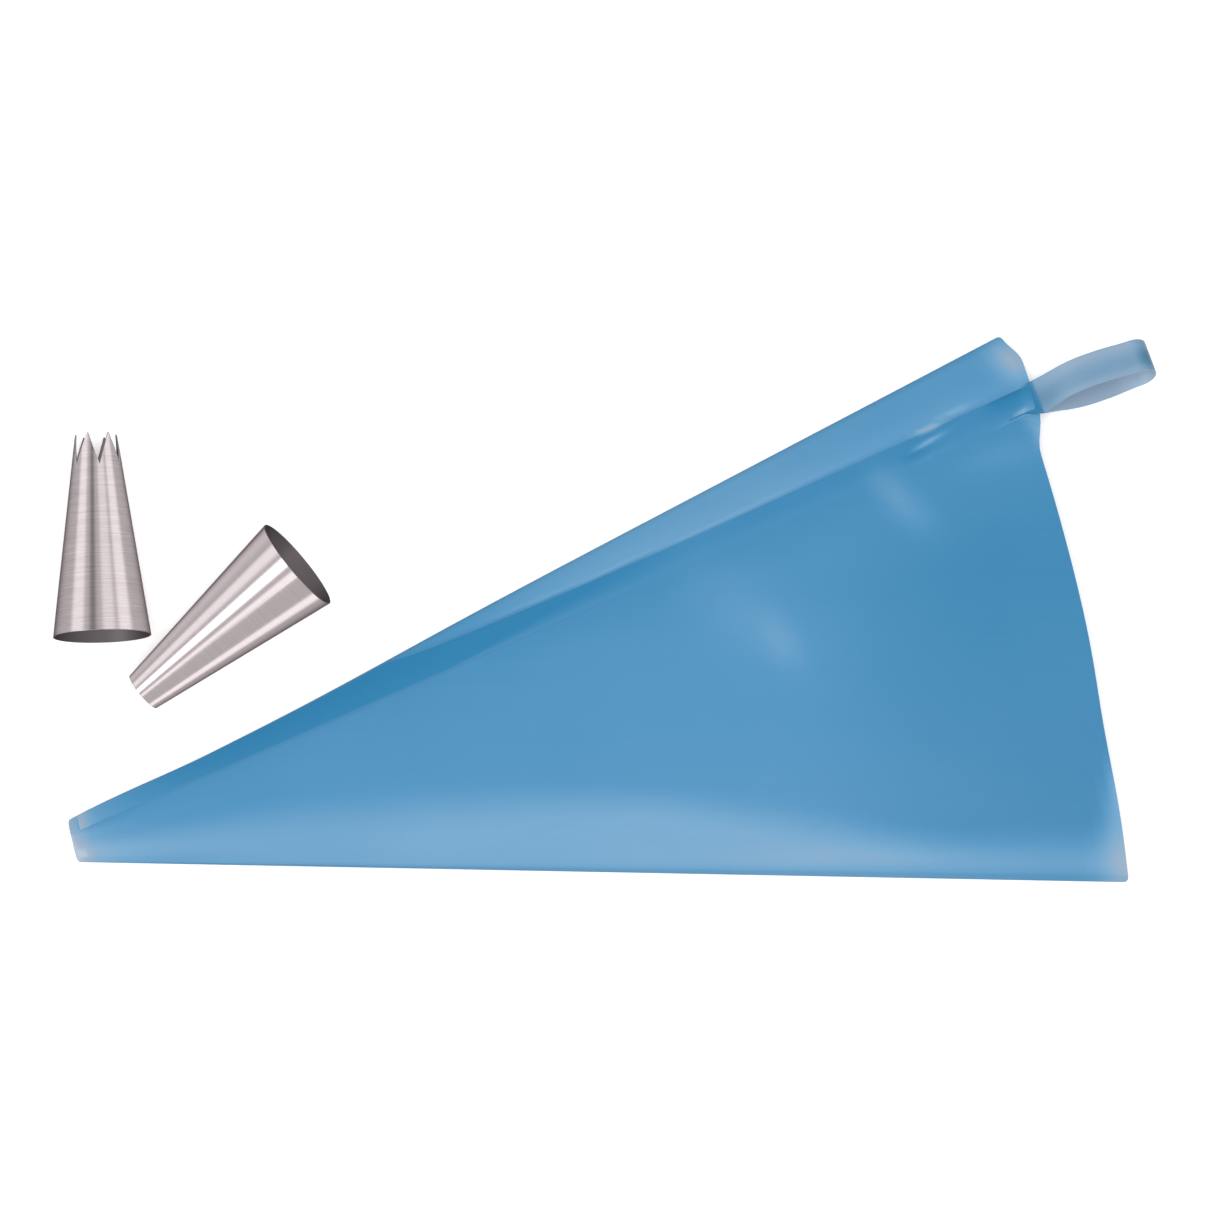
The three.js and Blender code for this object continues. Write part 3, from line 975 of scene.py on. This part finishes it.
def softbox(name, size, height, tilt, turn, radiance):
    """A rectangular light, tilt from the zenith towards turn, aimed at the middle."""
    data = bpy.data.lights.new(name, "AREA")
    data.shape = "RECTANGLE"
    data.size, data.size_y = size
    data.energy = radiance * math.pi * size[0] * size[1]
    light = bpy.data.objects.new(name, data)
    away = Vector((
        math.sin(tilt) * math.cos(turn), math.sin(tilt) * math.sin(turn), math.cos(tilt),
    ))
    light.location = away * height
    light.rotation_euler = away.to_track_quat("Z", "Y").to_euler()
    scene.collection.objects.link(light)
    return light


key = softbox("key", (0.75, 0.4), 1.2, math.radians(29), math.radians(-90), 1.5)
fill = softbox("fill", (2.0, 2.0), 2.4, 0.0, 0.0, 3.25)
fill.visible_glossy = False
print(f"softboxes: {key.data.energy:.2f} W and {fill.data.energy:.2f} W")


# %% [markdown]
# Polished steel shows the room rather than itself. Four long panels hang parallel to each
# nozzle, as in a product studio, so that the streaks run the whole length of the cone. One of
# the star's is a black flag that draws a dark streak. A panel is described by where
# its reflection shows across the nozzle, from -1 at one side of the cone to 1 at the other, and
# the room's direction for it follows from the way a mirror on that part of the cone turns the
# line of sight.

# %% Panels around the nozzles
# Where a panel's reflection shows across the nozzle, half its width there, and its brightness.
STAR_PANELS = (
    (-0.5, 0.1, 1.3),
    (-0.17, 0.1, 1.15),
    (0.16, 0.04, 0.25),
    (0.48, 0.1, 1.3),
)
PLAIN_PANELS = (
    (-0.8, 0.12, 1.0),
    (-0.18, 0.07, 2.6),
    (0.1, 0.03, 1.5),
    (0.72, 0.05, 1.5),
)
PANEL_SOFTNESS = 0.05
GAP_LIGHT = 0.68
# A panel fades out where a direction leans this far off the line that its nozzle mirrors.
LEAN_FULL = 0.16
LEAN_NONE = 0.3
print("panels:", len(STAR_PANELS), "by the star,", len(PLAIN_PANELS), "by the plain nozzle")

# %% [markdown]
# The world's shader is the room: it turns each direction into light. Its first nodes give the
# direction that a ray leaves in, and how far up that points.

# %% The room
EVEN_LIGHT = 0.65
CEILING_LIGHT = 0.7
LOW_LIGHT = 0.25
LOWEST_LIT = -0.4
world = bpy.data.worlds.new("studio")
scene.world = world
world.use_nodes = True
room = world.node_tree
background = room.nodes["Background"]
direction = add_node(room, "ShaderNodeTexCoord").outputs["Generated"]
height_above = add_node(room, "ShaderNodeSeparateXYZ", links={0: direction}).outputs["Z"]
print("room:", world.name)


# %% Aim the panels
def mirrored_view(across, slope):
    """Roll about the nozzle, and lean towards its tip, of what a lying cone mirrors upwards."""
    around = math.asin(across)
    axis = Vector((math.cos(slope), 0, -math.sin(slope)))
    above_axis = Vector((math.sin(slope), 0, math.cos(slope)))
    outwards = above_axis * math.cos(around) + Vector((0, 1, 0)) * math.sin(around)
    face = outwards * math.cos(slope) + axis * math.sin(slope)
    mirrored = 2 * face.z * face - Vector((0, 0, 1))
    return math.atan2(mirrored.y, mirrored.z), mirrored.x


def part_towards(turn):
    """How much of each direction of the room points towards a level direction."""
    level = (math.cos(turn), math.sin(turn), 0)
    node = add_node(
        room, "ShaderNodeVectorMath",
        links={0: direction},
        inputs={1: level},
        operation="DOT_PRODUCT",
    )
    return node.outputs["Value"]


def panel_stops(panels):
    """Brightness across a nozzle: the gaps' light, with a soft-edged step at each panel."""
    stops = []
    for centre, half_width, brightness in panels:
        outer = half_width + PANEL_SOFTNESS
        stops += [
            (centre - outer, GAP_LIGHT), (centre - half_width, brightness),
            (centre + half_width, brightness), (centre + outer, GAP_LIGHT),
        ]
    return stops


def panel_set(heading, base_radius, panels):
    """The panels parallel to one nozzle: their brightness, and where in the room they hang."""
    slope = math.atan((base_radius - TIP_RADIUS) / NOZZLE_LENGTH)
    beside = part_towards(heading + math.pi / 2)
    roll = add_node(
        room, "ShaderNodeMath", links={0: beside, 1: height_above}, operation="ARCTAN2",
    ).outputs["Value"]
    place = add_node(
        room, "ShaderNodeMapRange",
        links={"Value": roll},
        inputs={"From Min": -math.pi, "From Max": math.pi},
    )
    ramp = add_node(room, "ShaderNodeValToRGB", links={"Fac": place.outputs["Result"]})
    elements = ramp.color_ramp.elements
    elements.remove(elements[1])
    for index, (across, brightness) in enumerate(panel_stops(panels)):
        at = mirrored_view(across, slope)[0] / (2 * math.pi) + 0.5
        element = elements[0] if index == 0 else elements.new(at)
        element.position = at
        element.color = grey(brightness)
    half_roll = add_node(
        room, "ShaderNodeMath", links={0: roll}, inputs={1: 0.5}, operation="MULTIPLY",
    )
    fall = add_node(
        room, "ShaderNodeMath", links={0: half_roll.outputs["Value"]}, operation="COSINE",
    )
    expected = add_node(
        room, "ShaderNodeMath",
        links={0: fall.outputs["Value"]},
        inputs={1: mirrored_view(0.0, slope)[1]},
        operation="MULTIPLY",
    )
    off = add_node(
        room, "ShaderNodeMath",
        links={0: part_towards(heading), 1: expected.outputs["Value"]},
        operation="SUBTRACT",
    )
    size = add_node(
        room, "ShaderNodeMath", links={0: off.outputs["Value"]}, operation="ABSOLUTE",
    )
    here = add_node(
        room, "ShaderNodeMapRange",
        links={"Value": size.outputs["Value"]},
        inputs={"From Min": LEAN_FULL, "From Max": LEAN_NONE, "To Min": 1.0, "To Max": 0.0},
    )
    return ramp.outputs["Color"], here.outputs["Result"]


# %% [markdown]
# Only mirrored light sees the panels. Light that falls on the film and the table is even, and
# the camera sees plain white behind the table. Each piece is left out of the reflections of the
# others, and so is the table, so the streaks stay clean.

# %% Join the light
plain_light, by_plain = panel_set(PLAIN_HEADING, PLAIN_BASE_RADIUS, PLAIN_PANELS)
star_light, by_star = panel_set(STAR_HEADING, STAR_BASE_RADIUS, STAR_PANELS)
room_height = add_node(
    room, "ShaderNodeMapRange",
    links={"Value": height_above},
    inputs={"From Min": LOWEST_LIT, "From Max": 1.0},
)
rest_of_room = add_node(
    room, "ShaderNodeMix",
    links={0: room_height.outputs["Result"]},
    inputs={6: grey(LOW_LIGHT), 7: grey(CEILING_LIGHT)},
    data_type="RGBA",
)
around_plain = add_node(
    room, "ShaderNodeMix",
    links={0: by_plain, 6: rest_of_room.outputs[2], 7: plain_light},
    data_type="RGBA",
)
around_both = add_node(
    room, "ShaderNodeMix",
    links={0: by_star, 6: around_plain.outputs[2], 7: star_light},
    data_type="RGBA",
)
ray = add_node(room, "ShaderNodeLightPath")
mirrored_only = add_node(
    room, "ShaderNodeMix",
    links={0: ray.outputs["Is Glossy Ray"], 7: around_both.outputs[2]},
    inputs={6: grey(EVEN_LIGHT)},
    data_type="RGBA",
)
seen = add_node(
    room, "ShaderNodeMix",
    links={0: ray.outputs["Is Camera Ray"], 6: mirrored_only.outputs[2]},
    inputs={7: grey(1.0)},
    data_type="RGBA",
)
room.links.new(seen.outputs[2], background.inputs["Color"])
for piece in (film, weld, strap, star, plain):
    piece.visible_glossy = False
print("room nodes:", len(room.nodes))

# %% [markdown]
# ## Which part each piece stands for
# The film and the weld stay with the bag, and each nozzle stays with its own part; the imported
# parts are hidden. The imported tab and loop are hidden as well, and the strap's place is baked
# into its mesh. The film's flat cut is a slice of a ring, without the lap that the weld hides.

# %% Tie the pieces to the imported model
for piece, node, body in (
    (film, "bag_body", "bag"),
    (weld, "seam_strip", "bag"),
    (star, "star_nozzle", "star"),
    (plain, "plain_nozzle", "plain"),
):
    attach(piece, body)
    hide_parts(node)

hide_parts("loop_tab", "hanging_loop")
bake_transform(strap)
